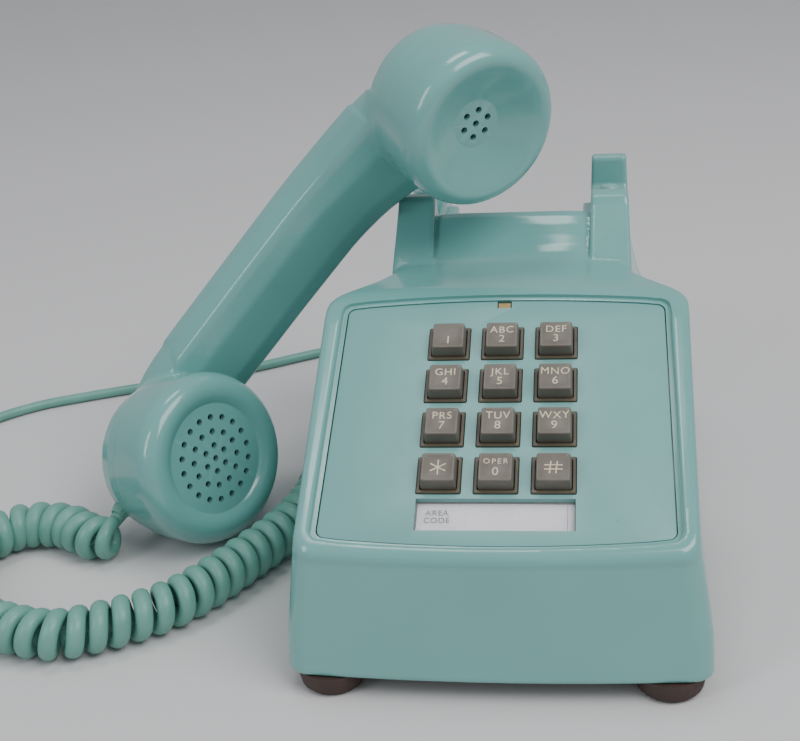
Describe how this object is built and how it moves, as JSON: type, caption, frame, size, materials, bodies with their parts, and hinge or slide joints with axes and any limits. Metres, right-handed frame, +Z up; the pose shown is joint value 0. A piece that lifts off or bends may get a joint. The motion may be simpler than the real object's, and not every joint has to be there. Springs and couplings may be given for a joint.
{
  "type": "push-button desk telephone",
  "caption": "Aqua moulded desk telephone with a sloped push-button face, two pairs of cradle horns and a corded handset leaning off the hook.",
  "frame": {"origin": "under the middle of the telephone and its leaning handset, at table height", "axes": "+Z up, the keypad side faces -Y, +X to the right of someone dialling"},
  "size_m": [0.4079, 0.3126, 0.1928],
  "materials": {
    "aqua_plastic": "glossy aqua moulded plastic",
    "aqua_faceplate": "aqua plastic, slightly satin",
    "cord_plastic": "soft aqua vinyl",
    "key_plastic": "warm grey keys with cream legends",
    "collar_plastic": "brown-grey collars",
    "card": "pale paper",
    "clear_plastic": "clear plastic",
    "steel": "plated steel",
    "brass": "dull brass",
    "foot_rubber": "dark brown rubber",
    "board": "brown phenolic board",
    "copper_winding": "taped copper winding",
    "black_plastic": "black plastic"
  },
  "bodies": {
    "base": {"housing": "aqua_plastic", "faceplate": "aqua_faceplate", "handset_cord": "cord_plastic", "handset_cord_tail": "cord_plastic", "handset_cord_lead": "cord_plastic", "handset_cord_inlet": "cord_plastic", "line_cord": "cord_plastic", "line_cord_coil": "cord_plastic", "line_cord_end": "cord_plastic", "line_cord_inlet": "cord_plastic", "keypad_frame": "collar_plastic", "number_card": "card", "card_window": "clear_plastic", "line_plug": "clear_plastic", "base_plate": "steel", "hookswitch_bracket": "steel", "ringer_frame": "steel", "gong_left": "brass", "gong_right": "brass", "foot_front_left": "foot_rubber", "foot_front_right": "foot_rubber", "foot_rear_left": "foot_rubber", "foot_rear_right": "foot_rubber", "keypad_board": "board", "hookswitch_contacts": "board", "ringer_coil": "copper_winding", "network_block": "black_plastic"},
    "handset": {"handset_handle": "aqua_plastic", "receiver_cap": "aqua_plastic", "transmitter_cap": "aqua_plastic", "receiver_capsule": "steel", "transmitter_capsule": "steel", "transmitter_cup": "black_plastic", "handset_bushing": "cord_plastic"},
    "plunger_left": {"plunger_left": "aqua_plastic"},
    "plunger_right": {"plunger_right": "aqua_plastic"},
    "hookswitch_lever": {"hookswitch_lever": "steel"},
    "ringer_clapper": {"ringer_clapper": "steel"},
    "ringer_volume_wheel": {"ringer_volume_wheel": "black_plastic"},
    "faceplate_latch": {"faceplate_latch": "brass"},
    "key_1": {"key_1": "key_plastic"},
    "key_2": {"key_2": "key_plastic"},
    "key_3": {"key_3": "key_plastic"},
    "key_4": {"key_4": "key_plastic"},
    "key_5": {"key_5": "key_plastic"},
    "key_6": {"key_6": "key_plastic"},
    "key_7": {"key_7": "key_plastic"},
    "key_8": {"key_8": "key_plastic"},
    "key_9": {"key_9": "key_plastic"},
    "key_star": {"key_star": "key_plastic"},
    "key_0": {"key_0": "key_plastic"},
    "key_pound": {"key_pound": "key_plastic"}
  },
  "joints": [
    {"name": "handset_lift", "type": "slide", "parent": "base", "child": "handset", "axis": [0, 0, 1], "range_m": [0, 0.15]},
    {"name": "key_1_press", "type": "slide", "parent": "base", "child": "key_1", "axis": [0, 0.454, -0.891], "range_m": [0, 0.0032], "stiffness_N_per_m": 300, "springref_m": -0.001},
    {"name": "key_2_press", "type": "slide", "parent": "base", "child": "key_2", "axis": [0, 0.454, -0.891], "range_m": [0, 0.0032], "stiffness_N_per_m": 300, "springref_m": -0.001},
    {"name": "key_3_press", "type": "slide", "parent": "base", "child": "key_3", "axis": [0, 0.454, -0.891], "range_m": [0, 0.0032], "stiffness_N_per_m": 300, "springref_m": -0.001},
    {"name": "key_4_press", "type": "slide", "parent": "base", "child": "key_4", "axis": [0, 0.454, -0.891], "range_m": [0, 0.0032], "stiffness_N_per_m": 300, "springref_m": -0.001},
    {"name": "key_5_press", "type": "slide", "parent": "base", "child": "key_5", "axis": [0, 0.454, -0.891], "range_m": [0, 0.0032], "stiffness_N_per_m": 300, "springref_m": -0.001},
    {"name": "key_6_press", "type": "slide", "parent": "base", "child": "key_6", "axis": [0, 0.454, -0.891], "range_m": [0, 0.0032], "stiffness_N_per_m": 300, "springref_m": -0.001},
    {"name": "key_7_press", "type": "slide", "parent": "base", "child": "key_7", "axis": [0, 0.454, -0.891], "range_m": [0, 0.0032], "stiffness_N_per_m": 300, "springref_m": -0.001},
    {"name": "key_8_press", "type": "slide", "parent": "base", "child": "key_8", "axis": [0, 0.454, -0.891], "range_m": [0, 0.0032], "stiffness_N_per_m": 300, "springref_m": -0.001},
    {"name": "key_9_press", "type": "slide", "parent": "base", "child": "key_9", "axis": [0, 0.454, -0.891], "range_m": [0, 0.0032], "stiffness_N_per_m": 300, "springref_m": -0.001},
    {"name": "key_star_press", "type": "slide", "parent": "base", "child": "key_star", "axis": [0, 0.454, -0.891], "range_m": [0, 0.0032], "stiffness_N_per_m": 300, "springref_m": -0.001},
    {"name": "key_0_press", "type": "slide", "parent": "base", "child": "key_0", "axis": [0, 0.454, -0.891], "range_m": [0, 0.0032], "stiffness_N_per_m": 300, "springref_m": -0.001},
    {"name": "key_pound_press", "type": "slide", "parent": "base", "child": "key_pound", "axis": [0, 0.454, -0.891], "range_m": [0, 0.0032], "stiffness_N_per_m": 300, "springref_m": -0.001},
    {"name": "hookswitch_hinge", "type": "hinge", "parent": "base", "child": "hookswitch_lever", "pos_m": [0.04691, 0.04125, 0.07], "axis": [-1, 0, 0], "range_deg": [0, 13.2], "stiffness_Nm_per_rad": 0.15, "springref_deg": -22.92},
    {"name": "plunger_left_slide", "type": "slide", "parent": "base", "child": "plunger_left", "axis": [0, 0, -1], "range_m": [0, 0.0081]},
    {"name": "plunger_right_slide", "type": "slide", "parent": "base", "child": "plunger_right", "axis": [0, 0, -1], "range_m": [0, 0.0081]},
    {"name": "clapper_hinge", "type": "hinge", "parent": "base", "child": "ringer_clapper", "pos_m": [0.04691, 0.06225, 0.036], "axis": [0, 0, 1], "range_deg": [-4.5, 4.5], "stiffness_Nm_per_rad": 0.01},
    {"name": "volume_wheel_hinge", "type": "hinge", "parent": "base", "child": "ringer_volume_wheel", "pos_m": [0.08491, 0.01925, 0.006], "axis": [0, 0, 1], "range_deg": [-75, 75]},
    {"name": "faceplate_latch_press", "type": "slide", "parent": "base", "child": "faceplate_latch", "axis": [0, 0.454, -0.891], "range_m": [0, 0.0012], "stiffness_N_per_m": 400, "springref_m": -0.0005}
  ],
  "couplings": [
    {"joint": "plunger_left_slide", "follows": "hookswitch_hinge", "m_per_rad": 0.0347},
    {"joint": "plunger_right_slide", "follows": "hookswitch_hinge", "m_per_rad": 0.0347}
  ]
}
